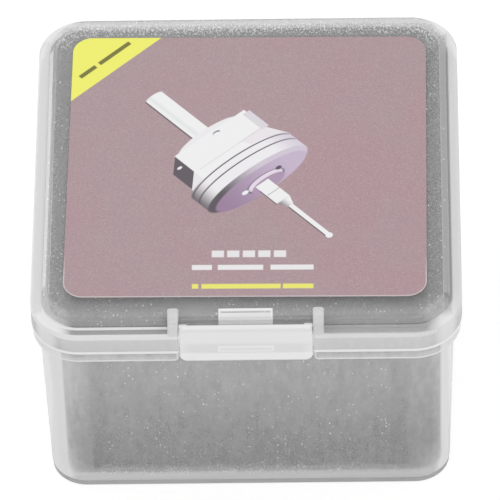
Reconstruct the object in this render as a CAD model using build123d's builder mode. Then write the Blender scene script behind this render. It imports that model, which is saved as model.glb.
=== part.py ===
from build123d import *
from math import cos, radians, sin, tan
import os

os.makedirs("parts", exist_ok=True)

# A square snap-shut case, moulded in frosted polypropylene and filled with grey foam.
# Millimetres. The origin is the centre of the underside, +Z is up and the latch faces -Y.

# Outline of the closed case, seen from above, at the lid's flange
case_width = 95.0
case_depth = 97.5
corner_radius = 10.8

# Heights, from the underside up
foot_height = 1.9
body_height = 42.2
rim_height = 2.65
flange_height = 6.35
dome_height = 2.95

# Walls and steps
lid_wall = 1.3
base_wall = 1.4
floor_thickness = 1.6
wall_draft = 1.3
foot_inset = 0.15
rim_inset = 0.3
dome_inset = 2.6
neck_clearance = 0.48
neck_top_clearance = 0.5

# Edge radii and small chamfers
dome_radius = 1.65
flange_edge_radius = 0.35
seam_edge_chamfer = 0.25
rim_edge_chamfer = 0.25
floor_chamfer = 1.4
foot_edge_chamfer = 0.3
neck_edge_chamfer = 0.3
notch_radius = 1.2

# Latch flap: a plate with side ribs, a finger lip, a snap bead and two pivot pins
flap_width = 29.2
flap_height = 10.3
flap_thickness = 1.3
flap_front_stand = 0.5
flap_corner_radius = 1.7
flap_top_radius = 0.8
flap_edge_radius = 0.4
flap_side_clearance = 0.2
flap_back_clearance = 0.2
flap_above_pivot = 0.4
flap_rib_width = 1.0
flap_rib_depth = 0.35
lip_width = 23.0
lip_height = 1.9
lip_reach = 0.3
bead_width = 23.0
bead_height = 0.8
bead_clearance = 0.1
pivot_depth = 0.65
pivot_pin_radius = 0.75
pivot_boss_radius = 0.95
pivot_boss_width = 1.7
pin_clearance = 0.05
pin_end_clearance = 0.2

# Ears that hold the flap's pins, the tab that stops it, and the catch it snaps on
ear_thickness = 2.25
ear_rise = 0.6
ear_overlap = 0.6
ear_nose_radius = 1.2
ear_edge_chamfer = 0.25
ear_end_radius = 0.55
pivot_below_ear_top = 1.8
tab_width = 11.9
tab_stand = 0.6
tab_rise = 0.3
tab_overlap = 0.6
tab_edge_radius = 0.25
catch_width = 12.1
catch_height = 1.9
catch_rise = 1.9
catch_reach = 0.65

# Rear hinge: two stations, each a lid knuckle with stub pins between two lugs of the base
hinge_spacing = 48.0
hinge_standoff = 2.15
hinge_clearance = 0.2
hinge_open_angle = 110.0
hinge_pin_radius = 1.0
knuckle_width = 8.0
knuckle_radius = 1.85
knuckle_arm_height = 4.2
knuckle_side_clearance = 0.25
lug_thickness = 2.4
lug_reach = 2.1
lug_heel = 0.9
lug_drop = 7.2

# Foam: a cut block in the base with a nest for a round-bodied instrument, and a lid sheet
foam_clearance = 0.12
foam_corner_radius = 6.0
foam_below_neck = 0.2
foam_gap = 0.3
nest_diameter = 44.0
nest_length = 30.0
nest_depth = 38.0
nest_radius = 5.0
shank_width = 16.0
shank_length = 20.0
shank_depth = 27.0
stylus_width = 9.0
stylus_length = 16.0
stylus_depth = 24.0
channel_radius = 3.0
finger_radius = 11.0
finger_depth = 18.0

# Printed sticker on the lid
label_size = 80.0
label_corner_radius = 4.5
label_thickness = 0.15
label_turn = -0.5
label_x = 0.1
label_y = -0.4

# How closely an edge or face has to match a level to be picked
match_tolerance = 0.001

# Levels
rim_bottom_z = foot_height + body_height
seam_z = rim_bottom_z + rim_height
ledge_z = seam_z + flange_height
ledge_under_z = ledge_z - lid_wall
dome_top_z = ledge_z + dome_height
dome_under_z = dome_top_z - lid_wall
neck_top_z = ledge_under_z - neck_top_clearance

# Insets from the flange outline
draft_slope = tan(radians(wall_draft))
neck_inset = lid_wall + neck_clearance
neck_cavity_inset = neck_inset + base_wall
body_bottom_inset = neck_inset + body_height * draft_slope
cavity_floor_inset = neck_cavity_inset + (rim_bottom_z - floor_thickness) * draft_slope
dome_cavity_inset = dome_inset + lid_wall

# Front faces, from the outside in
flange_front_y = -case_depth / 2
neck_front_y = flange_front_y + neck_inset
dome_front_y = flange_front_y + dome_inset
flap_front_y = flange_front_y - flap_front_stand
flap_back_y = flap_front_y + flap_thickness
notch_back_y = flap_back_y + flap_back_clearance
catch_front_y = neck_front_y - catch_reach
catch_bottom_z = rim_bottom_z + catch_rise

# Latch pivot and the flap round it
ear_inner_x = flap_width / 2 + flap_side_clearance
ear_outer_x = ear_inner_x + ear_thickness
ear_top_z = dome_top_z + ear_rise
ear_back_y = dome_front_y + dome_radius + ear_overlap
tab_back_y = dome_front_y + dome_radius + tab_overlap
pivot_y = flap_back_y + pivot_depth
pivot_z = ear_top_z - pivot_below_ear_top
flap_top_z = pivot_z + flap_above_pivot
flap_bottom_z = flap_top_z - flap_height

# Hinge axis and the lugs round it
hinge_y = case_depth / 2 + hinge_standoff
hinge_z = seam_z
lug_radius = hinge_standoff - hinge_clearance
lug_inner_x = knuckle_width / 2 + knuckle_side_clearance
stub_pin_length = knuckle_side_clearance + lug_thickness - pin_end_clearance


def plan(inset, radius=None):
    """Rounded-square outline, set in from the lid flange."""
    own_radius = corner_radius - inset if radius is None else radius
    return RectangleRounded(case_width - 2 * inset, case_depth - 2 * inset, own_radius)


def level_edges(solid, height):
    """Edges of a piece that lie level at one height."""
    return solid.edges().filter_by_position(
        Axis.Z, height - match_tolerance, height + match_tolerance
    )


# Base: a drafted open box with a foot band, a stepped rim and a neck that the lid closes over
with BuildPart() as base_shell:
    with BuildSketch():
        plan(body_bottom_inset + foot_inset)
    extrude(amount=foot_height)
    with BuildSketch(Plane.XY.offset(rim_bottom_z)):
        plan(neck_inset)
    extrude(amount=-body_height, taper=wall_draft)
    with BuildSketch(Plane.XY.offset(rim_bottom_z)):
        plan(neck_inset)
    extrude(amount=neck_top_z - rim_bottom_z)
    chamfer(level_edges(base_shell, neck_top_z), neck_edge_chamfer)
    chamfer(level_edges(base_shell, 0), foot_edge_chamfer)

    # Rim, left out at the front where the flap reaches down to the catch
    with BuildSketch(Plane.XY.offset(rim_bottom_z)) as rim_outline:
        plan(rim_inset)
        with Locations((0, flange_front_y)):
            Rectangle(2 * ear_inner_x, 2 * neck_inset, mode=Mode.SUBTRACT)
        notch_corners = rim_outline.vertices().group_by(Axis.Y)[0]
        fillet(notch_corners.filter_by(lambda corner: abs(corner.X) < ear_outer_x), notch_radius)
    extrude(amount=rim_height)
    rim_edges = level_edges(base_shell, rim_bottom_z) + level_edges(base_shell, seam_z)
    half_width = case_width / 2 - rim_inset
    half_depth = case_depth / 2 - rim_inset
    chamfer(
        rim_edges.filter_by(
            lambda edge: abs(edge.center().X) > half_width - match_tolerance
            or abs(edge.center().Y) > half_depth - match_tolerance
        ),
        rim_edge_chamfer,
    )

    # Inside of the box
    with BuildSketch(Plane.XY.offset(rim_bottom_z)):
        plan(neck_cavity_inset)
    extrude(amount=floor_thickness - rim_bottom_z, taper=wall_draft, mode=Mode.SUBTRACT)
    with BuildSketch(Plane.XY.offset(rim_bottom_z)):
        plan(neck_cavity_inset)
    extrude(amount=neck_top_z - rim_bottom_z, mode=Mode.SUBTRACT)
    chamfer(level_edges(base_shell, floor_thickness), floor_chamfer)

    # Catch bar that the flap's bead snaps past, with a sloping top
    with BuildSketch(Plane.YZ):
        with BuildLine():
            Polyline(
                (neck_front_y + base_wall / 2, catch_bottom_z),
                (catch_front_y, catch_bottom_z),
                (catch_front_y, catch_bottom_z + catch_height - catch_reach),
                (neck_front_y, catch_bottom_z + catch_height),
                (neck_front_y + base_wall / 2, catch_bottom_z + catch_height),
                close=True,
            )
        make_face()
    extrude(amount=catch_width / 2, both=True)

    # Hinge lugs: round about the pin, with a sloping top that stops the opened lid
    stop_slope = radians(hinge_open_angle - 90)
    slope_start_y = hinge_y + lug_radius * sin(stop_slope)
    slope_start_z = hinge_z + lug_radius * cos(stop_slope)
    slope_end_z = slope_start_z - (hinge_y + lug_reach - slope_start_y) * tan(stop_slope)
    lug_root_y = case_depth / 2 - neck_inset - base_wall / 2
    lug_starts = [
        station * hinge_spacing / 2 + start
        for station in (-1, 1)
        for start in (-lug_inner_x - lug_thickness, lug_inner_x)
    ]
    for lug_start in lug_starts:
        with BuildSketch(Plane.YZ.offset(lug_start)):
            with BuildLine():
                Line((lug_root_y, hinge_z), (hinge_y - lug_radius, hinge_z))
                TangentArc(
                    (hinge_y - lug_radius, hinge_z),
                    (slope_start_y, slope_start_z),
                    tangent=(0, 1),
                )
                Polyline(
                    (slope_start_y, slope_start_z),
                    (hinge_y + lug_reach, slope_end_z),
                    (hinge_y + lug_reach, hinge_z - lug_heel),
                    (lug_root_y, hinge_z - lug_drop),
                    (lug_root_y, hinge_z),
                )
            make_face()
            with Locations((hinge_y, hinge_z)):
                Circle(hinge_pin_radius + pin_clearance, mode=Mode.SUBTRACT)
        extrude(amount=lug_thickness)

# Lid: a deep flange round a raised dome, hollow below, with latch ears and hinge knuckles
with BuildPart() as lid_shell:
    with BuildSketch(Plane.XY.offset(seam_z)):
        plan(0)
    extrude(amount=flange_height)
    chamfer(level_edges(lid_shell, seam_z), seam_edge_chamfer)
    fillet(level_edges(lid_shell, ledge_z), flange_edge_radius)
    with BuildSketch(Plane.XY.offset(ledge_z)):
        plan(dome_inset)
    extrude(amount=dome_height)
    fillet(level_edges(lid_shell, dome_top_z), dome_radius)

    # Inside of the flange and of the dome
    with BuildSketch(Plane.XY.offset(seam_z)):
        plan(lid_wall)
    extrude(amount=flange_height - lid_wall, mode=Mode.SUBTRACT)
    with BuildSketch(Plane.XY.offset(ledge_under_z)):
        plan(dome_cavity_inset)
    extrude(amount=dome_under_z - ledge_under_z, mode=Mode.SUBTRACT)

    # Notch for the flap: the ledge is set back and the flange below it is left out
    with BuildSketch(Plane.XY.offset(seam_z)):
        with Locations((0, flange_front_y)):
            Rectangle(2 * ear_inner_x, 2 * (notch_back_y - flange_front_y))
    extrude(amount=flange_height, mode=Mode.SUBTRACT)
    with BuildSketch(Plane.XY.offset(seam_z)):
        with Locations((0, flange_front_y)):
            Rectangle(2 * ear_inner_x, 2 * neck_inset)
    extrude(amount=flange_height - lid_wall, mode=Mode.SUBTRACT)

    # Ears, flush with the flange's front and a little proud of the dome
    for ear_start in (-ear_outer_x, ear_inner_x):
        with BuildSketch(Plane.YZ.offset(ear_start)) as ear:
            with BuildLine():
                Polyline(
                    (flange_front_y, ledge_z - lid_wall / 2),
                    (flange_front_y, ear_top_z),
                    (ear_back_y, ear_top_z),
                    (ear_back_y, dome_top_z - lid_wall / 2),
                    (dome_front_y + lid_wall / 2, dome_top_z - dome_radius),
                    (dome_front_y + lid_wall / 2, ledge_z - lid_wall / 2),
                    close=True,
                )
            make_face()
            nose_corner = ear.vertices().group_by(Axis.X)[0].sort_by(Axis.Y)[-1]
            fillet(nose_corner, ear_nose_radius)
        extrude(amount=ear_thickness)
    ear_ends = lid_shell.edges().filter_by(Axis.Z).filter_by_position(
        Axis.Y, ear_back_y - match_tolerance, ear_back_y + match_tolerance
    )
    fillet(ear_ends, ear_end_radius)
    chamfer(level_edges(lid_shell, ear_top_z).filter_by(Axis.Y), ear_edge_chamfer)

    # Tab behind the flap's top edge
    with BuildSketch(Plane.YZ):
        with BuildLine():
            Polyline(
                (dome_front_y - tab_stand, ledge_z - lid_wall / 2),
                (dome_front_y - tab_stand, dome_top_z + tab_rise),
                (tab_back_y, dome_top_z + tab_rise),
                (tab_back_y, dome_top_z - lid_wall / 2),
                (dome_front_y + lid_wall / 2, dome_top_z - dome_radius),
                (dome_front_y + lid_wall / 2, ledge_z - lid_wall / 2),
                close=True,
            )
        make_face()
    extrude(amount=tab_width / 2, both=True)
    fillet(level_edges(lid_shell, dome_top_z + tab_rise), tab_edge_radius)

    # Pin holes through both ears
    with BuildSketch(Plane.YZ):
        with Locations((pivot_y, pivot_z)):
            Circle(pivot_pin_radius + pin_clearance)
    extrude(amount=ear_outer_x, both=True, mode=Mode.SUBTRACT)

    # Hinge knuckles: a barrel on an arm from the flange, with a stub pin at each end
    arm_root_y = case_depth / 2 - lid_wall / 2
    for station in (-1, 1):
        knuckle_x = station * hinge_spacing / 2
        with BuildSketch(Plane.YZ.offset(knuckle_x)):
            with BuildLine():
                Polyline(
                    (arm_root_y, hinge_z),
                    (hinge_y, hinge_z),
                    (hinge_y, hinge_z + knuckle_radius),
                    (arm_root_y, hinge_z + knuckle_arm_height),
                    close=True,
                )
            make_face()
            with Locations((hinge_y, hinge_z)):
                Circle(knuckle_radius)
        extrude(amount=knuckle_width / 2, both=True)
        with BuildSketch(Plane.YZ.offset(knuckle_x)):
            with Locations((hinge_y, hinge_z)):
                Circle(hinge_pin_radius)
        extrude(amount=knuckle_width / 2 + stub_pin_length, both=True)

# Latch flap: it hangs on its pins between the ears and snaps over the base's catch
with BuildPart() as latch_flap:
    with BuildSketch(Plane.XZ.offset(-flap_back_y)) as plate:
        with Locations((0, flap_bottom_z + flap_height / 2)):
            Rectangle(flap_width, flap_height)
        fillet(plate.vertices().group_by(Axis.Y)[0], flap_corner_radius)
        fillet(plate.vertices().group_by(Axis.Y)[-1], flap_top_radius)
    extrude(amount=flap_thickness)
    fillet(latch_flap.faces().sort_by(Axis.Y)[0].edges(), flap_edge_radius)

    # Finger lip: a low rounded ridge along the lower edge
    with BuildSketch(Plane.YZ):
        with BuildLine():
            ridge = ThreePointArc(
                (flap_front_y, flap_bottom_z + flap_edge_radius),
                (flap_front_y - lip_reach, flap_bottom_z + lip_height / 2),
                (flap_front_y, flap_bottom_z + lip_height),
            )
            Polyline(
                ridge @ 1,
                (flap_front_y + flap_thickness / 2, flap_bottom_z + lip_height),
                (flap_front_y + flap_thickness / 2, flap_bottom_z + flap_edge_radius),
                ridge @ 0,
            )
        make_face()
    extrude(amount=lip_width / 2, both=True)

    # Side ribs behind the plate, clear of the lid's ledge above them
    rib_bottom_z = flap_bottom_z + flap_corner_radius
    rib_top_z = ledge_under_z - 2 * flap_back_clearance
    with BuildSketch(Plane.XZ.offset(-flap_back_y)):
        with Locations(
            (-(flap_width - flap_rib_width) / 2, (rib_bottom_z + rib_top_z) / 2),
            ((flap_width - flap_rib_width) / 2, (rib_bottom_z + rib_top_z) / 2),
        ):
            Rectangle(flap_rib_width, rib_top_z - rib_bottom_z)
    extrude(amount=-flap_rib_depth)

    # Snap bead, drawn just clear of the catch and below it
    bead_top_z = catch_bottom_z - bead_clearance
    with BuildSketch(Plane.YZ):
        with BuildLine():
            Polyline(
                (flap_back_y - flap_thickness / 2, bead_top_z),
                (flap_back_y, bead_top_z),
                (catch_front_y - bead_clearance, bead_top_z - bead_height / 4),
                (catch_front_y - bead_clearance, bead_top_z - bead_height / 2),
                (flap_back_y, bead_top_z - bead_height),
                (flap_back_y - flap_thickness / 2, bead_top_z - bead_height),
                close=True,
            )
        make_face()
    extrude(amount=bead_width / 2, both=True)

    # Pivot bosses at the top corners and the pins that turn in the ears
    boss_starts = (-flap_width / 2, flap_width / 2 - pivot_boss_width)
    for boss_start in boss_starts:
        with BuildSketch(Plane.YZ.offset(boss_start)):
            with Locations((pivot_y, pivot_z)):
                Circle(pivot_boss_radius)
            with Locations((pivot_y, pivot_z - pivot_boss_radius)):
                Rectangle(
                    pivot_depth + flap_thickness / 2,
                    pivot_boss_radius + flap_above_pivot,
                    align=(Align.MAX, Align.MIN),
                )
        extrude(amount=pivot_boss_width)
    with BuildSketch(Plane.YZ.offset(flap_width / 2)):
        with Locations((pivot_y, pivot_z)):
            Circle(pivot_pin_radius)
    extrude(amount=flap_side_clearance + ear_thickness - pin_end_clearance)
    with BuildSketch(Plane.YZ.offset(-flap_width / 2)):
        with Locations((pivot_y, pivot_z)):
            Circle(pivot_pin_radius)
    extrude(amount=-(flap_side_clearance + ear_thickness - pin_end_clearance))

# Base foam: a straight-cut block on the flat of the floor, with a stepped nest open at its top
base_foam_top_z = neck_top_z - foam_below_neck
with BuildPart() as base_foam:
    with BuildSketch(Plane.XY.offset(floor_thickness)):
        plan(cavity_floor_inset + floor_chamfer + foam_clearance, foam_corner_radius)
    extrude(amount=base_foam_top_z - floor_thickness)
    with BuildSketch(Plane.XY.offset(base_foam_top_z)):
        RectangleRounded(nest_diameter, nest_length, nest_radius)
    extrude(amount=-nest_depth, mode=Mode.SUBTRACT)
    with BuildSketch(Plane.XY.offset(base_foam_top_z)):
        with Locations((0, nest_length / 2)):
            RectangleRounded(shank_width, 2 * shank_length, channel_radius)
    extrude(amount=-shank_depth, mode=Mode.SUBTRACT)
    with BuildSketch(Plane.XY.offset(base_foam_top_z)):
        with Locations((0, -nest_length / 2)):
            RectangleRounded(stylus_width, 2 * stylus_length, channel_radius)
    extrude(amount=-stylus_depth, mode=Mode.SUBTRACT)
    with BuildSketch(Plane.XY.offset(base_foam_top_z)):
        with Locations((-nest_diameter / 2, 0), (nest_diameter / 2, 0)):
            Circle(finger_radius)
    extrude(amount=-finger_depth, mode=Mode.SUBTRACT)

# Lid foam: a plain sheet pressed up into the dome
with BuildPart() as lid_foam:
    with BuildSketch(Plane.XY.offset(base_foam_top_z + foam_gap)):
        plan(dome_cavity_inset + foam_clearance)
    extrude(amount=dome_under_z - base_foam_top_z - foam_gap)

# Sticker: thin film on the dome, laid a little off square
with BuildPart() as label_sticker:
    with BuildSketch(Plane.XY.offset(dome_top_z)):
        with Locations(Location((label_x, label_y, 0), (0, 0, label_turn))):
            RectangleRounded(label_size, label_size, label_corner_radius)
    extrude(amount=label_thickness)

pieces = {
    "base_shell": base_shell,
    "lid_shell": lid_shell,
    "latch_flap": latch_flap,
    "base_foam": base_foam,
    "lid_foam": lid_foam,
    "label_sticker": label_sticker,
}
for piece_name, piece in pieces.items():
    piece.part.label = piece_name
    export_step(piece.part, f"parts/{piece_name}.step")
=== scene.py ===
from math import cos, radians, sin

import bmesh
import bpy
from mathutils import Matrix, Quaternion, Vector


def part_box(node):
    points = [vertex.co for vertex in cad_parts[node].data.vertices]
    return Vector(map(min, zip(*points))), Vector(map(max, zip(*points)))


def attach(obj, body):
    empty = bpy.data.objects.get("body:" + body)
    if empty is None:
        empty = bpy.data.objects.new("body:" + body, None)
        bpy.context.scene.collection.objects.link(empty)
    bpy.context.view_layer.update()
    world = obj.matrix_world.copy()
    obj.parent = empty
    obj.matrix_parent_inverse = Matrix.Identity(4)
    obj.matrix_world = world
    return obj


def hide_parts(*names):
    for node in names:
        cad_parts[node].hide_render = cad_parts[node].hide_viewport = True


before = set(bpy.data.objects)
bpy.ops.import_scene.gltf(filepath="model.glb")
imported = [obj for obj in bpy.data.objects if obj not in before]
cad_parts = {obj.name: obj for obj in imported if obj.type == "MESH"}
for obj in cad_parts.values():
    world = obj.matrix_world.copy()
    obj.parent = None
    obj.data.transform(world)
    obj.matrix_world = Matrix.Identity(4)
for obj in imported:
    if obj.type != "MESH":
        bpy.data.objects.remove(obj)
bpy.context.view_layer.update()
mm = 0.001


# Camera: a long lens far off, above the latch side and a hair to its right. It is rolled a
# little, so the case stands slightly out of level and its sides hardly converge.
aim_point = Vector((0.13, -0.08, 27.92)) * mm
camera_distance = 1566.8 * mm
camera_elevation = radians(46.975)
camera_yaw = radians(1.652)
camera_roll = radians(-1.833)
lens_length, sensor_width = 498.6, 36.0

towards_camera = Vector(
    (
        sin(camera_yaw) * cos(camera_elevation),
        -cos(camera_yaw) * cos(camera_elevation),
        sin(camera_elevation),
    )
)
bpy.ops.object.camera_add(location=aim_point + camera_distance * towards_camera)
camera = bpy.context.object
camera.data.lens = lens_length
camera.data.sensor_width = sensor_width
camera.data.clip_end = 10.0
camera.rotation_mode = "QUATERNION"
facing = towards_camera.to_track_quat("Z", "Y")
camera.rotation_quaternion = facing @ Quaternion((0, 0, 1), camera_roll)
bpy.context.scene.camera = camera


# Case mouldings: three thin shells of milky, satin polypropylene, moulded with their own hinge
# and latch pins. Foam shows grey through a single wall, and the plastic turns whiter where it is
# thick, doubled or seen along its edge. Heights are in millimetres above the underside.
case_width = 2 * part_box("lid_shell")[1].x / mm
case_depth = -2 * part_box("lid_shell")[0].y / mm
corner_radius = 10.8
foot_top = 1.9
rim_bottom = 44.1
seam_level = 46.75
neck_top = 51.0
ledge_level = 53.1
tab_and_catch_half = 6.0
notch_half = 14.65


class Wire:
    """One output of a material's nodes. Python's operators on it add Math nodes."""

    def __init__(self, socket):
        self.socket = socket

    def node(self, kind, settings, values, output=0):
        """Adds a node to this material, with its settings first and then its sockets."""
        tree = self.socket.id_data
        made = tree.nodes.new(kind)
        for setting, choice in settings.items():
            setattr(made, setting, choice)
        for name, value in values.items():
            if isinstance(value, Wire):
                tree.links.new(value.socket, made.inputs[name])
            else:
                made.inputs[name].default_value = value
        return Wire(made.outputs[output]) if made.outputs else None

    def __add__(self, other):
        return self.node("ShaderNodeMath", {"operation": "ADD"}, {0: self, 1: other})

    __radd__ = __add__

    def __sub__(self, other):
        return self.node("ShaderNodeMath", {"operation": "SUBTRACT"}, {0: self, 1: other})

    def __rsub__(self, other):
        return self.node("ShaderNodeMath", {"operation": "SUBTRACT"}, {0: other, 1: self})

    def __mul__(self, other):
        return self.node("ShaderNodeMath", {"operation": "MULTIPLY"}, {0: self, 1: other})

    __rmul__ = __mul__

    def __truediv__(self, other):
        return self.node("ShaderNodeMath", {"operation": "DIVIDE"}, {0: self, 1: other})

    def __pow__(self, other):
        return self.node("ShaderNodeMath", {"operation": "POWER"}, {0: self, 1: other})

    def __abs__(self):
        return self.node("ShaderNodeMath", {"operation": "ABSOLUTE"}, {0: self})


def larger(first, second):
    """The larger of two values."""
    return first.node("ShaderNodeMath", {"operation": "MAXIMUM"}, {0: first, 1: second})


def smaller(first, second):
    """The smaller of two values."""
    return first.node("ShaderNodeMath", {"operation": "MINIMUM"}, {0: first, 1: second})


def rise(value, low, high):
    """0 up to low, 1 from high on, and a smooth step between them."""
    return value.node(
        "ShaderNodeMapRange",
        {"interpolation_type": "SMOOTHSTEP"},
        {"Value": value, "From Min": low, "From Max": high},
    )


def band(value, low, high, soft):
    """1 between low and high, and 0 outside, with edges this soft."""
    return rise(value, low - soft, low + soft) * (1 - rise(value, high - soft, high + soft))


def mixed(share, first, second):
    """The first colour where share is 0 and the second where it is 1."""
    colour_a, colour_b, colour_out = 6, 7, 2
    return share.node(
        "ShaderNodeMix",
        {"data_type": "RGBA"},
        {"Factor": share, colour_a: first, colour_b: second},
        colour_out,
    )


def screen_colour(red, green, blue):
    """A colour from its values on a screen, 0 to 255."""
    shares = [value / 255 for value in (red, green, blue)]
    linear = [s / 12.92 if s < 0.04045 else ((s + 0.055) / 1.055) ** 2.4 for s in shares]
    return (*linear, 1.0)


def noise(place, size, detail=2.0):
    """Cloudy values round 0.5, with lumps about this many millimetres across."""
    return place.node(
        "ShaderNodeTexNoise",
        {"noise_dimensions": "3D"},
        {"Vector": place, "Scale": 1 / size, "Detail": detail},
    )


def specks(place, size, share, radius):
    """Flecks of every brightness, in this share of cells of this many millimetres."""
    cells = {"Vector": place, "Scale": 1 / size}
    distance = place.node("ShaderNodeTexVoronoi", {}, cells, "Distance")
    chance = place.node("ShaderNodeTexVoronoi", {}, cells, "Color")
    picked = place.node("ShaderNodeSeparateColor", {}, {"Color": chance}, "Red")
    dot = 1 - rise(distance, 0.6 * radius / size, radius / size)
    return dot * rise(picked, 1 - share, 1.0) ** 2.0


def new_material(name):
    """An empty material, and the place of each of its points in millimetres."""
    material = bpy.data.materials.new(name)
    material.use_nodes = True
    tree = material.node_tree
    tree.nodes.clear()
    metres = Wire(tree.nodes.new("ShaderNodeTexCoord").outputs["Object"])
    place = metres.node(
        "ShaderNodeVectorMath", {"operation": "SCALE"}, {"Vector": metres, "Scale": 1 / mm}
    )
    return material, place


def along(place, axis):
    """One coordinate of a place."""
    return place.node("ShaderNodeSeparateXYZ", {}, {"Vector": place}, axis)


def finish_surface(place, sockets):
    """Ends a material in one plastic-like surface with these sockets."""
    shader = place.node("ShaderNodeBsdfPrincipled", {}, sockets)
    place.node("ShaderNodeOutputMaterial", {}, {"Surface": shader})


def bumps(place, height, depth):
    """A bumpy normal from a height of 0 to 1, this many millimetres deep."""
    return place.node(
        "ShaderNodeBump", {}, {"Height": height, "Strength": 1.0, "Distance": depth * mm}
    )


def dress(piece, material):
    """Gives a piece its one material."""
    piece.data.materials.clear()
    piece.data.materials.append(material)


def past_straight(x, y):
    """How far a point lies past the ends of the outline's straight sides, along X and Y."""
    past_x = abs(x) - (case_width / 2 - corner_radius)
    past_y = abs(y) - (case_depth / 2 - corner_radius)
    return past_x, past_y


def inset_from_outline(x, y):
    """How far inside the lid flange's rounded-square outline a point lies."""
    past_x, past_y = past_straight(x, y)
    round_part = (larger(past_x, 0.0) ** 2.0 + larger(past_y, 0.0) ** 2.0) ** 0.5
    flat_part = smaller(larger(past_x, past_y), 0.0)
    return corner_radius - round_part - flat_part


def depth_into_corner(x, y):
    """Above 0 round a corner, most at its middle, and below 0 along the straight sides."""
    return smaller(*past_straight(x, y))


def frosted_plastic(name, milkiness, evenness=1.0):
    """Satin polypropylene that hides what is behind it as far as milkiness says.

    Milkiness also gives painted shade that greys it, painted glint specks, and painted light: a
    faint glow for walls of narrow gaps, standing in for the light the real plastic carries inside.
    """
    clear_white, shaded_grey = screen_colour(250, 250, 250), screen_colour(112, 112, 112)
    glint_white, carried_light = screen_colour(248, 248, 248), screen_colour(212, 212, 212)
    material, place = new_material(name)
    x, y, z = (along(place, axis) for axis in "XYZ")
    milk, painted_shade, painted_glints, glow = milkiness(place, x, y, z)
    uneven = evenness * rise(z, 3.1, 3.9) * (1 - rise(milk, 0.45, 0.75))
    cloud = uneven * (noise(place, 7.0) - 0.5)
    streaks = uneven * (noise(taller(taller(place)), 1.6) - 0.5)
    mottle = uneven * (noise(taller(place), 0.8, 1.0) - 0.5)
    hiding = milk * (1 + 0.22 * cloud + 0.5 * streaks)
    # Painted shade turns the colour towards grey as far as the milkiness function asks
    colour = mixed(larger(painted_shade + 0.25 * mottle + 0.1, 0.0), clear_white, shaded_grey)
    sockets = {
        "Roughness": 0.34 + 0.1 * noise(place, 1.6),
        "IOR": 1.49,
        "Normal": bumps(place, uneven * noise(place, 0.35), 0.003),
    }
    # Painted glints: white specks where foam presses on the wall
    if painted_glints is not None:
        hiding = hiding + painted_glints
        colour = mixed(smaller(2.0 * painted_glints, 1.0), colour, glint_white)
    # Painted light: a faint glow on the walls of narrow gaps
    if glow is not None:
        sockets["Emission Color"] = mixed(glow, (0.0, 0.0, 0.0, 1.0), carried_light)
        sockets["Emission Strength"] = 1.0
    sockets["Alpha"] = larger(smaller(hiding, 1.0), 0.0)
    sockets["Base Color"] = colour
    finish_surface(place, sockets)
    return material


def taller(place):
    """The same places, closer together in depth and height, so that what they carry is taller."""
    return place.node(
        "ShaderNodeVectorMath", {"operation": "MULTIPLY"}, {0: place, 1: (1.0, 0.6, 0.6)}
    )


def foam_contact_glints(place, near_edge, elsewhere):
    """Painted glints where foam presses: a fine mottle near an edge, and loose flecks elsewhere.
    """
    fine = rise(noise(taller(place), 0.42, 1.0), 0.5, 0.66) * near_edge
    clusters = rise(noise(place, 8.0), 0.25, 0.6) * elsewhere
    loose = larger(specks(taller(place), 0.9, 0.75, 0.19), specks(place, 0.8, 0.5, 0.15))
    return larger(fine, loose * clusters)


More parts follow.
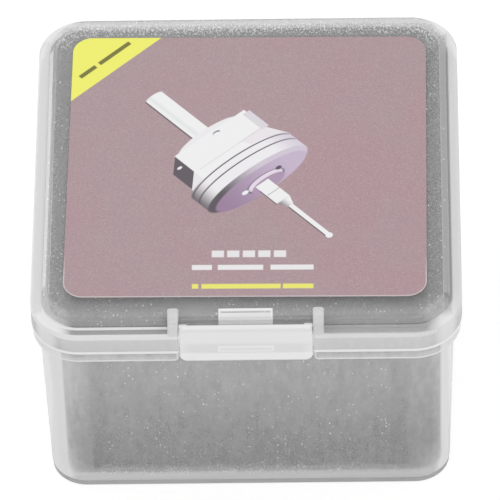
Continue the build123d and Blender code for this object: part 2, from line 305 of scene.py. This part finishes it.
def base_milkiness(place, x, y, z):
    """The base hides most at its rim, its foot and its corners, and least in mid wall."""
    inset = inset_from_outline(x, y)
    corner = depth_into_corner(x, y)
    past_x, past_y = past_straight(x, y)
    # Painted light and shade: the left half is kept milkier and whiter than the right, lit from
    # the left
    shaded_right_half = rise(x, -20.0, 20.0)
    past_side = past_x - 2.0 * shaded_right_half

    # The wall is milkier into the corners, and white where it bends into the foot
    wall = 0.325 + 0.02 * rise(z, 8.0, 50.0) + (0.17 - 0.12 * shaded_right_half) * rise(corner, -4.5, 4.5)
    wall = wall - 0.025 * band(corner, -5.0, -1.5, 0.5)
    wall = wall + 0.2 * (1 - rise(z, 4.0, 14.0)) * rise(corner, -2.0, 5.0)
    wall = wall + 0.055 * rise(past_side, 1.6, 2.8)
    wall = wall + (1 - rise(z, 2.9, 6.3)) * (0.72 - wall)

    # The rim and the neck inside it are doubled by the lid; the neck's top face is seen along
    rim = rise(z, rim_bottom - 0.1, rim_bottom + 0.1)
    neck = rise(z, seam_level, seam_level + 0.2)
    front_top = rise(z, neck_top, neck_top + 0.1) * (1 - rise(y, -42.0, -40.0))
    milk = larger(wall, rim * (0.46 - 0.16 * neck + 0.55 * front_top))

    outer = 1 - rise(inset, 0.7, 0.9)
    rim_edge = outer * band(z, rim_bottom - 0.2, rim_bottom + 0.7, 0.15)
    foot_line = band(z, foot_top - 0.05, foot_top + 0.4, 0.1)
    foot = 1 - rise(z, foot_top - 0.2, foot_top)
    lugs = 1 - rise(inset, -0.35, -0.1)
    catch_width = 1 - rise(abs(x), tab_and_catch_half, tab_and_catch_half + 0.2)
    catch = catch_width * (1 - rise(y, -47.1, -47.0))
    rim_front = 1 - rise(y, -46.6, -46.5)
    notch_ends = rim_front * rim * band(abs(x), notch_half - 0.75, notch_half + 0.75, 0.1)
    near_foot = 0.8 * (1 - rise(z, 2.0, 8.0))
    corner_edge = rise(past_side + near_foot, 2.9, 4.4) * rise(past_y, 0.5, 2.5)
    for edge, strength in (
        (rim_edge, 0.88),
        (foot_line, 0.75),
        (foot, 0.7),
        (lugs, 0.8),
        (catch, 0.95),
        (notch_ends, 0.95),
        (corner_edge, 0.8),
    ):
        milk = larger(milk, strength * edge)

    # Painted glints of foam pressed on the wall's flat: a mottled strip above the foot, loose
    # flecks
    pressed = 1 - rise(corner, -5.5, -4.5)
    low_strip = 0.17 * band(z, 3.9, 6.6, 0.9) * (1 - rise(corner, -4.0, -2.0))
    low_strip = low_strip * rise(noise(place, 4.0), 0.3, 0.55)
    painted_glints = foam_contact_glints(place, low_strip, 0.55 * pressed * band(z, 6.0, 44.0, 1.0))

    # Painted shade: the foot, the front top of the neck and the floor plate turn grey, and the
    # wall greyer low down
    floor_plate_shade = (1 - rise(z, 1.65, 1.75)) * rise(inset, 3.4, 3.8)
    low_wall_shade = (1 - rise(z, 8.0, 50.0)) * (1 - rim) * (1 - corner_edge)
    painted_shade = larger(0.6 * foot, larger(0.68 * front_top, floor_plate_shade))
    painted_shade = larger(painted_shade, 0.28 * low_wall_shade)
    # Painted light: a faint glow on the end walls of the notch's narrow gaps
    notch_walls = rim_front * band(abs(x), notch_half - 0.1, notch_half + 0.2, 0.03)
    glow = 0.6 * notch_walls * rise(z, seam_level + 0.25, seam_level + 0.45)
    return milk, painted_shade, painted_glints, glow


def lid_milkiness(place, x, y, z):
    """The lid is clearest over the label's middle, and hides most at its edges and ears."""
    inset = inset_from_outline(x, y)
    corner = depth_into_corner(x, y)
    # Painted light and shade: the two halves differ, the left mostly whiter than the right, lit
    # from the left
    shaded_right_half = rise(x, -20.0, 20.0)
    lit_left_half = 1 - shaded_right_half
    short_of_back = 1 - rise(y, 37.0, 41.0)
    dome = rise(z, ledge_level + 0.15, ledge_level + 0.35)
    ledge_face = rise(z, ledge_level - 0.2, ledge_level - 0.05) * (1 - dome)
    ledge_underside = rise(z, 51.7, 51.75) * rise(inset, 1.35, 1.5) * (1 - dome)
    ledge = larger(ledge_face, ledge_underside)
    sides = rise(abs(x), 44.5, 45.5)
    flange = 0.56 - ledge * (0.32 - 0.5 * sides)

    # The dome is milkier at its back, in its corners and low down on its front wall
    dome_milk = 0.25 - (0.066 + 0.016 * shaded_right_half) * rise(inset, 3.4, 5.8)
    dome_milk = dome_milk + 0.03 * rise(y, 38.0, 44.5) + 0.25 * rise(y, 43.2, 44.4)
    crescent = rise(corner, 0.5, 3.5) * (1 - rise(inset, 3.6, 5.4))
    near_front = 1 - rise(y, -41.0, -38.0)
    past_ears = rise(abs(x), 14.0, 14.8)
    # Painted light: milkier, so whiter, low on the front wall where the flap shades it
    lit_behind_flap = 0.42 * (1 - past_ears) * (1 - rise(z, 53.6, 55.2))
    front_wall = lit_behind_flap + 0.12 * past_ears * (1 - rise(z, 54.0, 55.4))
    dome_milk = dome_milk + 0.08 * crescent + near_front * (front_wall - 0.03)
    milk = flange + dome * (dome_milk - flange)

    top_edge = rise(z, 50.4, 51.9) * (1 - rise(inset + 0.2 * shaded_right_half, 0.15, 0.4))
    bottom_edge = 1 - rise(z, seam_level + 0.95, seam_level + 1.25)
    right_side = rise(x, 42.0, 43.0) * short_of_back
    dome_foot = band(inset, 1.6, 2.45, 0.1) * ledge_face * (1 - right_side)
    corners = rise(corner, 0.5, 7.0) * (1 - dome)
    ledge_corners = rise(corner - 2.0 * shaded_right_half, -0.5, 4.8) * ledge
    # Painted light and shade on the dome's sides: a whiter band on the left wall, and dark shade
    # lines
    left_wall = dome * rise(abs(x), 40.5, 41.5) * short_of_back * lit_left_half
    lit_side_band = left_wall * (1 - rise(inset, 3.35, 3.6)) * (1 - rise(corner, -2.5, 0.5))
    side_shade_line = left_wall * band(inset, 3.75, 4.15, 0.15)
    side_shade_line = larger(side_shade_line, right_side * band(inset, 2.1, 4.15, 0.15))
    side_shade_line = side_shade_line * (1 - rise(corner, 0.0, 3.0))
    knuckles = 1 - rise(inset, -0.35, -0.1)

    # The ears and the tab between them stand out in front of the dome
    front = (1 - rise(y, -43.95, -43.85)) * rise(z, 52.5, 52.6)
    ears = front * band(abs(x), 14.7, 17.2, 0.05)
    ear_edges = 1 - band(abs(x), 15.05, 16.8, 0.1)
    tab = front * (1 - rise(abs(x), tab_and_catch_half - 0.05, tab_and_catch_half))
    tab_top = rise(z, 56.1, 56.2)
    tab_ends = rise(abs(x), tab_and_catch_half - 0.4, tab_and_catch_half - 0.3)
    tab_edges = larger(larger(tab_ends, rise(y, -44.75, -44.65)), 1 - tab_top)
    # Painted shade: a dark line across the tab's top
    groove_width = 1 - rise(abs(x), tab_and_catch_half - 0.7, tab_and_catch_half - 0.6)
    tab_groove_shade = tab * band(y, -45.3, -45.0, 0.05) * tab_top * groove_width
    for edge, strength in (
        (top_edge, 0.86),
        (bottom_edge, 0.97),
        (dome_foot, 0.92 - 0.52 * shaded_right_half - 0.3 * sides * lit_left_half),
        (lit_side_band, 0.68),
        (corners, 0.84),
        (ledge_corners, 0.88),
        (side_shade_line, 0.87),
        (ears, 0.72 + 0.1 * ear_edges),
        (tab, 0.7 + 0.26 * tab_edges),
        (knuckles, 0.85),
    ):
        milk = larger(milk, strength * edge)

    # Painted glints of the foam pressed against the dome, dense in a ring at its back
    back_ring = dome * band(inset, 4.9, 7.0, 0.5) * rise(y, 34.0, 40.0)
    side_ring = dome * band(abs(x), 39.5, 43.5, 1.0)
    painted_glints = foam_contact_glints(place, larger(0.42 * back_ring, 0.08 * side_ring), 0.42 * dome)
    # Painted shade: dark lines along the dome's sides, a line across the tab's top, and greyer
    # ears
    painted_shade = larger((0.66 - 0.08 * shaded_right_half) * side_shade_line, 0.5 * tab_groove_shade)
    painted_shade = larger(painted_shade, 0.12 * ears)
    # Painted light: a faint glow on the notch's end walls and the tab's front face, in narrow gaps
    notch_walls = band(abs(x), notch_half + 0.1, notch_half + 0.18, 0.02)
    notch_walls = notch_walls * (1 - rise(y, -47.0, -46.9)) * (1 - rise(z, 53.1, 53.3))
    glow = larger(0.6 * notch_walls, 0.07 * tab * (1 - tab_top))
    return milk, painted_shade, painted_glints, glow


def flap_milkiness(place, x, y, z):
    """The flap hides most at its top, its sides and its lip, and least across its middle."""
    upper = rise(z, 50.0, 51.2)
    lip = 1 - rise(z, 47.3, 48.0)
    sides = rise(abs(x), 13.2, 13.8)
    milk = 0.9 + 0.05 * upper + 0.1 * lip

    # The catch bar behind shows through as a fine outline
    catch = band(abs(x), -1.0, tab_and_catch_half + 0.1, 0.08) * band(z, 48.05, 49.85, 0.08)
    catch_middle = band(abs(x), -1.0, tab_and_catch_half - 0.15, 0.08)
    catch_middle = catch_middle * band(z, 48.3, 49.35, 0.08)
    bosses = rise(y, -48.0, -47.9) * rise(z, 53.9, 54.4)
    milk = larger(milk + 0.3 * catch * (1 - catch_middle), 0.93 * sides) * (1 - 0.95 * bosses)
    # Painted shade: the middle turns a little grey over the shaded gap behind it, and so does the
    # top
    middle = (1 - upper) * (1 - lip) * (1 - catch) * (1 - rise(abs(x), 12.0, 13.2))
    painted_shade = 0.05 * middle + 0.06 * rise(z, 54.0, 54.6)
    return milk, painted_shade, None, None


dress(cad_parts["base_shell"], frosted_plastic("base_plastic", base_milkiness))
dress(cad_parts["lid_shell"], frosted_plastic("lid_plastic", lid_milkiness, 0.5))
dress(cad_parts["latch_flap"], frosted_plastic("flap_plastic", flap_milkiness, 0.2))


# Foam: two pieces of charcoal open-cell foam, cut from sheet and pressed in. The base block has
# a nest for an instrument and two finger scoops, and the lid's sheet is plain.
block_corner, sheet_corner = 6.0, 6.78
nest_length, nest_width, nest_depth, nest_corner = 44.0, 30.0, 38.0, 5.0
shank_width, shank_reach, shank_depth = 16.0, 35.0, 27.0
stylus_width, stylus_reach, stylus_depth = 9.0, 31.0, 24.0
slot_corner = 3.0
scoop_radius, scoop_depth = 11.0, 18.0
cutter_overlap = 5.0
block_touches_x, block_touches_y, sheet_touches_z = 41.2, 42.4, 54.0


def only(piece):
    """Makes a piece the one that the next operators work on."""
    bpy.ops.object.select_all(action="DESELECT")
    bpy.context.view_layer.objects.active = piece
    piece.select_set(True)


def rounded_block(name, low, high, upright_radius):
    """A block between two corners in millimetres, with its upright edges rounded."""
    low, high = Vector(low), Vector(high)
    bpy.ops.object.select_all(action="DESELECT")
    bpy.ops.mesh.primitive_cube_add(
        size=1, location=(low + high) / 2 * mm, scale=(high - low) * mm
    )
    block = bpy.context.object
    block.name = name
    bpy.ops.object.transform_apply(location=True, rotation=True, scale=True)
    bpy.ops.object.mode_set(mode="EDIT")
    bpy.ops.mesh.select_mode(type="EDGE")
    bpy.ops.mesh.select_all(action="DESELECT")
    shape = bmesh.from_edit_mesh(block.data)
    for edge in shape.edges:
        start, end = (vertex.co for vertex in edge.verts)
        edge.select_set(abs(start.z - end.z) > 0.5 * (high.z - low.z) * mm)
    bmesh.update_edit_mesh(block.data)
    bpy.ops.mesh.bevel(offset=upright_radius * mm, segments=10, affect="EDGES")
    bpy.ops.object.mode_set(mode="OBJECT")
    return block


def cut_away(piece, cutter):
    """Cuts the cutter's shape out of a piece and throws the cutter away."""
    only(piece)
    cut = piece.modifiers.new("cut", "BOOLEAN")
    cut.operation = "DIFFERENCE"
    cut.object = cutter
    bpy.ops.object.modifier_apply(modifier=cut.name)
    bpy.data.objects.remove(cutter)


def soften(piece, dent, voxel=0.8):
    """Turns a sharp block into foam: an even mesh, dulled edges and a slightly uneven face."""
    only(piece)
    remesh = piece.modifiers.new("even_mesh", "REMESH")
    remesh.mode = "VOXEL"
    remesh.voxel_size = voxel * mm
    bpy.ops.object.modifier_apply(modifier=remesh.name)
    dull = piece.modifiers.new("dull_edges", "SMOOTH")
    dull.factor = 0.5
    dull.iterations = 2
    bpy.ops.object.modifier_apply(modifier=dull.name)
    wide_lumps, fine_lumps = (6.0, 0.6), (1.3, 0.4)
    for lump_size, share in (wide_lumps, fine_lumps):
        lumps = bpy.data.textures.new("lumps", "CLOUDS")
        lumps.noise_scale = lump_size * mm
        uneven = piece.modifiers.new("uneven", "DISPLACE")
        uneven.texture = lumps
        uneven.mid_level = 1.0
        uneven.strength = share * dent * mm
        bpy.ops.object.modifier_apply(modifier=uneven.name)
    bpy.ops.object.shade_smooth()


def grey_foam(name):
    """Charcoal open-cell foam: a net of fine ridges round small dark pores.

    The faces that press against the plastic are flattened, so their pores show less.
    """
    material, place = new_material(name)
    x, y, z = (along(place, axis) for axis in "XYZ")
    pressed = larger(
        rise(abs(x), block_touches_x, block_touches_x + 0.4),
        rise(abs(y), block_touches_y, block_touches_y + 0.4),
    )
    pressed = larger(pressed, rise(z, sheet_touches_z, sheet_touches_z + 0.3))
    pore_size = 0.7
    cells = {"Vector": place, "Scale": 1 / pore_size}
    pores = place.node("ShaderNodeTexVoronoi", {}, cells, "Distance")
    ridges = rise(pores, 0.25, 0.75)
    shade = smaller(larger(0.75 * ridges + 0.5 * (noise(place, 0.5) - 0.35), 0.0), 1.0)
    shade = shade + 0.6 * pressed * (0.45 - shade)
    height = (0.8 * ridges + 0.2 * noise(place, 0.3)) * (1 - 0.6 * pressed)
    finish_surface(
        place,
        {
            "Base Color": mixed(shade, screen_colour(24, 24, 26), screen_colour(86, 87, 90)),
            "Roughness": 0.95,
            "Specular IOR Level": 0.1,
            "Normal": bumps(place, height, 0.25),
        },
    )
    return material


foam_finish = grey_foam("foam")
foam_low, foam_high = (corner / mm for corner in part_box("base_foam"))
foam_low.z += 0.2
base_block = rounded_block("base_foam_block", foam_low, foam_high, block_corner)
above = foam_high.z + cutter_overlap
nest_cutter = rounded_block(
    "nest_cutter",
    (-nest_length / 2, -nest_width / 2, foam_high.z - nest_depth),
    (nest_length / 2, nest_width / 2, above),
    nest_corner,
)
cut_away(base_block, nest_cutter)
shank_cutter = rounded_block(
    "shank_cutter",
    (-shank_width / 2, -cutter_overlap, foam_high.z - shank_depth),
    (shank_width / 2, shank_reach, above),
    slot_corner,
)
cut_away(base_block, shank_cutter)
stylus_cutter = rounded_block(
    "stylus_cutter",
    (-stylus_width / 2, -stylus_reach, foam_high.z - stylus_depth),
    (stylus_width / 2, cutter_overlap, above),
    slot_corner,
)
cut_away(base_block, stylus_cutter)
for side in (-1, 1):
    bpy.ops.object.select_all(action="DESELECT")
    bpy.ops.mesh.primitive_cylinder_add(
        vertices=64,
        radius=scoop_radius * mm,
        depth=2 * scoop_depth * mm,
        location=Vector((side * nest_length / 2, 0, foam_high.z)) * mm,
    )
    cut_away(base_block, bpy.context.object)
soften(base_block, dent=0.35)
dress(base_block, foam_finish)
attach(base_block, "base")
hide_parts("base_foam")

sheet_low, sheet_high = (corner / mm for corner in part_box("lid_foam"))
lid_sheet = rounded_block("lid_foam_sheet", sheet_low, sheet_high, sheet_corner)
soften(lid_sheet, dent=0.25)
dress(lid_sheet, foam_finish)
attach(lid_sheet, "lid")
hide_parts("lid_foam")


# Sticker: one printed paper label, stuck to the dome a touch out of square. A mauve ground
# carries a yellow corner, a plain drawing of an instrument and bars where lines would stand.
label_middle = (0.1, -0.4, 0.0)
label_turn = radians(-0.5)
label_half = 40.0
label_corner = 4.5
ink_edge = 0.12
drawing_turn = radians(-46.8)
drawing_shift = 1.2


def ellipse(u, v, middle, radii):
    """1 inside an ellipse and 0 outside, with an edge as soft as the ink's."""
    across, up = (u - middle[0]) / radii[0], (v - middle[1]) / radii[1]
    reach = (across**2.0 + up**2.0) ** 0.5
    edge = ink_edge / min(radii)
    return 1 - rise(reach, 1 - edge, 1 + edge)


def panel(u, v, left, right, bottom, top):
    """1 inside a rectangle and 0 outside, with an edge as soft as the ink's."""
    return band(u, left, right, ink_edge) * band(v, bottom, top, ink_edge)


def hoop(u, v, middle, radii, thickness):
    """The upper left half of an ellipse's outline, as a fine line."""
    outer = ellipse(u, v, middle, radii)
    inner = ellipse(u, v, (middle[0] + thickness, middle[1]), radii)
    return outer * (1 - inner) * (1 - rise(u, middle[0] - 0.2, middle[0] + 0.2))


def printed_label(name):
    """The sticker's print, laid down ink by ink in millimetres from the label's middle."""
    material, place = new_material(name)
    flat = place.node(
        "ShaderNodeMapping",
        {"vector_type": "TEXTURE"},
        {"Vector": place, "Location": label_middle, "Rotation": (0, 0, label_turn)},
    )
    u, v = along(flat, "X"), along(flat, "Y")
    grain = noise(flat, 0.3, 1.0)
    patches = 0.75 * noise(flat, 24.0) + 0.25 * noise(flat, 5.0)

    ink = mixed(
        rise(patches + 0.002 * u, 0.36, 0.66),
        screen_colour(168, 145, 149),
        screen_colour(172, 141, 147),
    )
    ink = mixed(0.5 * rise(grain, 0.5, 0.75), ink, screen_colour(190, 170, 173))
    ink = mixed(0.35 * rise(grain, 0.5, 0.25), ink, screen_colour(146, 124, 130))

    # The instrument lies on a diagonal: s runs down it to the right, and t across it
    s = cos(drawing_turn) * u + sin(drawing_turn) * v
    t = drawing_shift + cos(drawing_turn) * v - sin(drawing_turn) * u
    white = screen_colour(238, 238, 239)
    shade = screen_colour(88, 78, 86)
    lilac = mixed(rise(t, -12.0, 10.0), screen_colour(150, 122, 152), screen_colour(196, 178, 202))
    ink = mixed(panel(s, t, -30.2, -13.0, -2.45, 0.0), ink, shade)
    shank = larger(panel(s, t, -30.0, -12.0, -2.1, 2.6), ellipse(s, t, (-30.0, 0.25), (0.7, 2.35)))
    grey_streak = band(t, -1.2, -0.2, 0.5)
    ink = mixed(shank, ink, mixed(0.5 * grey_streak, white, screen_colour(214, 218, 218)))

    hub = ellipse(s, t, (-12.2, 0.8), (2.4, 9.0))
    block = panel(s, t, -13.1, 0.0, -8.8, 12.2)
    ink = mixed(hub, ink, screen_colour(234, 232, 235))
    slanted = s + 0.95 * (t + 8.4)
    ink = mixed(panel(slanted, t, -7.2, 1.0, -12.9, -8.4), ink, screen_colour(230, 228, 231))
    ink = mixed(panel(slanted, t, -13.3, -7.0, -12.8, -8.4), ink, shade)
    ink = mixed(ellipse(s, t, (-9.6, -10.4), (0.35, 0.65)), ink, white)
    right_flat = panel(s, t, -12.2, -5.7, 11.0, 13.0)
    ink = mixed(block, ink, white)
    far_flat = panel(s, t - 0.5 * (s + 6.4), -6.5, -1.0, 5.0, 11.9)
    ink = mixed(far_flat, ink, screen_colour(232, 227, 231))
    ink = mixed(right_flat, ink, screen_colour(217, 213, 219))
    ink = mixed(ellipse(s, t, (-12.1, 2.9), (0.45, 0.95)), ink, screen_colour(92, 86, 92))
    ink = mixed(ellipse(s, t, (-11.85, 2.7), (0.4, 0.85)), ink, white)
    top_flat_end = panel(s, t, -6.4, -6.0, -7.4, 11.0)
    ink = mixed(0.5 * top_flat_end, ink, screen_colour(214, 210, 216))

    drum_back, drum_front, drum_radii = -0.6, 4.9, (3.7, 14.6)
    drum = larger(
        panel(s, t, drum_back, drum_front, -14.6, 14.6),
        ellipse(s, t, (drum_back, 0.0), drum_radii),
    )
    drum_end = ellipse(s, t, (drum_front, 0.0), drum_radii)
    drum_tint = mixed(
        rise(t, -15.0, -8.5), screen_colour(104, 94, 102), screen_colour(236, 234, 237)
    )
    drum_tint = mixed(rise(t, 8.0, 14.5), drum_tint, screen_colour(214, 206, 219))
    ink = mixed(drum, ink, drum_tint)
    for groove in (-0.4, 1.7):
        ink = mixed(hoop(s, t, (groove, 0.0), (3.6, 14.4), 0.32), ink, screen_colour(60, 56, 62))
    bevel_tint = mixed(
        rise(t, -10.0, 4.0), screen_colour(82, 74, 82), screen_colour(206, 196, 210)
    )
    ink = mixed(drum_end, ink, bevel_tint)
    ink = mixed(ellipse(s, t, (5.9, 0.1), (3.3, 13.3)), ink, lilac)
    ink = mixed(ellipse(s, t, (6.5, 0.9), (1.9, 5.4)), ink, screen_colour(112, 92, 116))
    ink = mixed(ellipse(s, t, (6.4, 1.0), (1.6, 4.9)), ink, screen_colour(228, 214, 230))
    ink = mixed(ellipse(s, t, (7.4, 0.9), (1.6, 4.7)), ink, screen_colour(170, 144, 172))
    ink = mixed(ellipse(s, t, (5.5, 5.7), (0.5, 0.8)), ink, screen_colour(84, 70, 86))
    ink = mixed(ellipse(s, t, (6.1, -4.9), (0.5, 0.9)), ink, white)

    collar = larger(
        panel(s, t, 6.4, 13.5, -2.1, 1.7),
        band(s, 13.5, 15.9, ink_edge) * band(t / (1 - 0.27 * (s - 13.5)), -2.0, 1.7, ink_edge),
    )
    cone_shade = 0.8 * rise(s, 13.2, 13.8) * (1 - rise(t, -1.8, 0.8))
    ink = mixed(panel(s, t, 8.0, 13.6, -2.35, -1.0), ink, shade)
    ink = mixed(collar, ink, mixed(cone_shade, white, shade))
    ink = mixed(0.6 * panel(s, t, 10.0, 10.3, -1.9, 1.7), ink, screen_colour(150, 150, 152))
    ink = mixed(panel(s, t, 16.0, 28.6, -1.0, 0.0), ink, shade)
    ink = mixed(panel(s, t, 15.8, 28.4, -0.7, 0.45), ink, white)
    ink = mixed(ellipse(s, t, (28.4, -0.15), (0.8, 0.85)), ink, white)

    # Plain bars stand where the real print has its lines
    yellow = screen_colour(238, 237, 102)
    for left in (-7.4, -4.0, -0.55, 2.85, 6.3):
        ink = mixed(0.85 * panel(u, v, left, left + 2.7, -28.2, -26.2), ink, white)
    for left, right in ((-11.7, -7.3), (-6.0, 4.0), (5.6, 15.1)):
        ink = mixed(0.9 * panel(u, v, left, right, -32.0, -30.5), ink, white)
    for left, right in ((-11.6, -10.2), (-9.5, 7.9), (8.4, 15.1)):
        ink = mixed(0.9 * panel(u, v, left, right, -37.6, -36.2), ink, yellow)

    corner = rise(v - u, 60.05 - ink_edge, 60.05 + ink_edge)
    ink = mixed(corner, ink, yellow)
    along_corner, off_corner = 0.7071 * (u + v), 0.7071 * (v - u)
    for left, right in ((-7.5, -2.6), (-1.5, 8.0)):
        bar = panel(along_corner, off_corner, left, right, 45.9, 47.0)
        ink = mixed(0.9 * bar, ink, screen_colour(84, 84, 24))

    past_u = larger(abs(u) - (label_half - label_corner), 0.0)
    past_v = larger(abs(v) - (label_half - label_corner), 0.0)
    cut_edge_and_highlight = rise((past_u**2.0 + past_v**2.0) ** 0.5, label_corner - 0.35, label_corner - 0.1)
    # The paper's white cut edge, painted along the front only: partly its colour, partly a painted
    # highlight
    ink = mixed(0.6 * cut_edge_and_highlight * (1 - rise(v, -34.0, -26.0)), ink, screen_colour(226, 222, 222))
    finish_surface(
        place,
        {
            "Base Color": ink,
            "Roughness": 0.42 + 0.12 * grain,
            "Normal": bumps(place, grain, 0.01),
        },
    )
    return material


dress(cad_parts["label_sticker"], printed_label("label_print"))


# Studio: a white sweep under soft light from overhead. The floor looks white to the camera
# and still takes the case's faint shadow.
floor_size = 6.0
floor_glow, glow_share = 1.17, 0.7
sky_strength = 0.8


def white_floor(name):
    """White paper that the camera sees as nearly all light, and the object as paper."""
    material, place = new_material(name)
    paper = place.node("ShaderNodeBsdfDiffuse", {}, {"Color": screen_colour(245, 245, 245)})
    glow = place.node("ShaderNodeEmission", {}, {"Strength": floor_glow})
    path = place.node("ShaderNodeLightPath", {}, {}, "Is Camera Ray")
    glossy = place.node("ShaderNodeLightPath", {}, {}, "Is Glossy Ray")
    through = place.node("ShaderNodeLightPath", {}, {}, "Is Transmission Ray")
    seen = smaller(path + glossy + through, 1.0)
    shader = place.node("ShaderNodeMixShader", {}, {0: glow_share * seen, 1: paper, 2: glow})
    place.node("ShaderNodeOutputMaterial", {}, {"Surface": shader})
    return material


bpy.ops.object.select_all(action="DESELECT")
bpy.ops.mesh.primitive_plane_add(size=floor_size)
floor = bpy.context.object
floor.name = "floor"
dress(floor, white_floor("floor_paper"))

world = bpy.data.worlds.new("studio")
bpy.context.scene.world = world
world.use_nodes = True
sky = world.node_tree.nodes["Background"]
sky.inputs["Color"].default_value = (1, 1, 1, 1)
sky.inputs["Strength"].default_value = sky_strength

for name, place, size, power in (
    ("overhead", (-0.15, 0.35, 0.75), 0.7, 1.3),
    ("front", (0.25, -0.7, 0.55), 0.6, 0.75),
):
    bpy.ops.object.light_add(type="AREA", location=place)
    lamp = bpy.context.object
    lamp.name = name
    lamp.data.size = size
    lamp.data.energy = power
    aim = Vector(place) - aim_point
    lamp.rotation_mode = "QUATERNION"
    lamp.rotation_quaternion = aim.to_track_quat("Z", "Y")

bpy.context.scene.view_settings.view_transform = "Standard"
bpy.context.scene.cycles.transparent_max_bounces = 24
